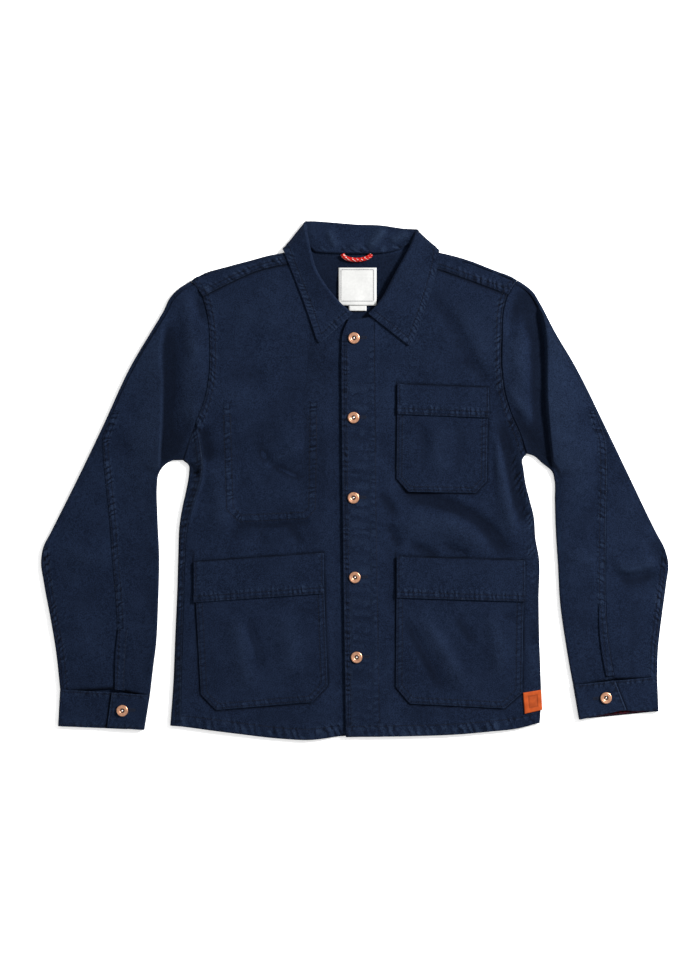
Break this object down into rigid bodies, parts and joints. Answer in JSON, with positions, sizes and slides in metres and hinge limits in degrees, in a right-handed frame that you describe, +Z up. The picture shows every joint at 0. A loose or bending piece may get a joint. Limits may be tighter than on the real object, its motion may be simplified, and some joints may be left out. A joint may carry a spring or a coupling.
{
  "type": "chore jacket",
  "caption": "Chore jacket laid flat on its back with its front buttoned: pointed collar, patch pockets with bands, and sleeves with buttoned cuffs.",
  "frame": {"origin": "on the surface that the jacket lies on, under the middle of its bounding box", "axes": "+X towards the wearer's left sleeve, +Y from the hem towards the collar, +Z up, out of the front"},
  "size_m": [0.9399, 0.7766, 0.0143],
  "materials": {
    "twill": "navy cotton twill, matt",
    "copper": "copper-plated, satin",
    "leather": "tan, matt",
    "label": "white woven label",
    "cord": "round braided cord, red"
  },
  "bodies": {
    "root": {"back": "twill", "yoke": "twill", "front_right": "twill", "front_left": "twill", "collar": "twill", "sleeve_upper_right": "twill", "sleeve_under_right": "twill", "sleeve_upper_left": "twill", "sleeve_under_left": "twill", "sleeve_placket_right": "twill", "sleeve_placket_left": "twill", "cuff_right": "twill", "cuff_left": "twill", "pocket_chest": "twill", "pocket_chest_band": "twill", "pocket_lower_right": "twill", "pocket_lower_right_band": "twill", "pocket_lower_left": "twill", "pocket_lower_left_band": "twill", "inner_pocket": "twill", "button_1": "copper", "button_2": "copper", "button_3": "copper", "button_4": "copper", "button_5": "copper", "cuff_button_right": "copper", "cuff_button_left": "copper", "neck_label": "label", "size_tab": "label", "leather_patch": "leather", "hanger_loop": "cord"}
  },
  "joints": []
}
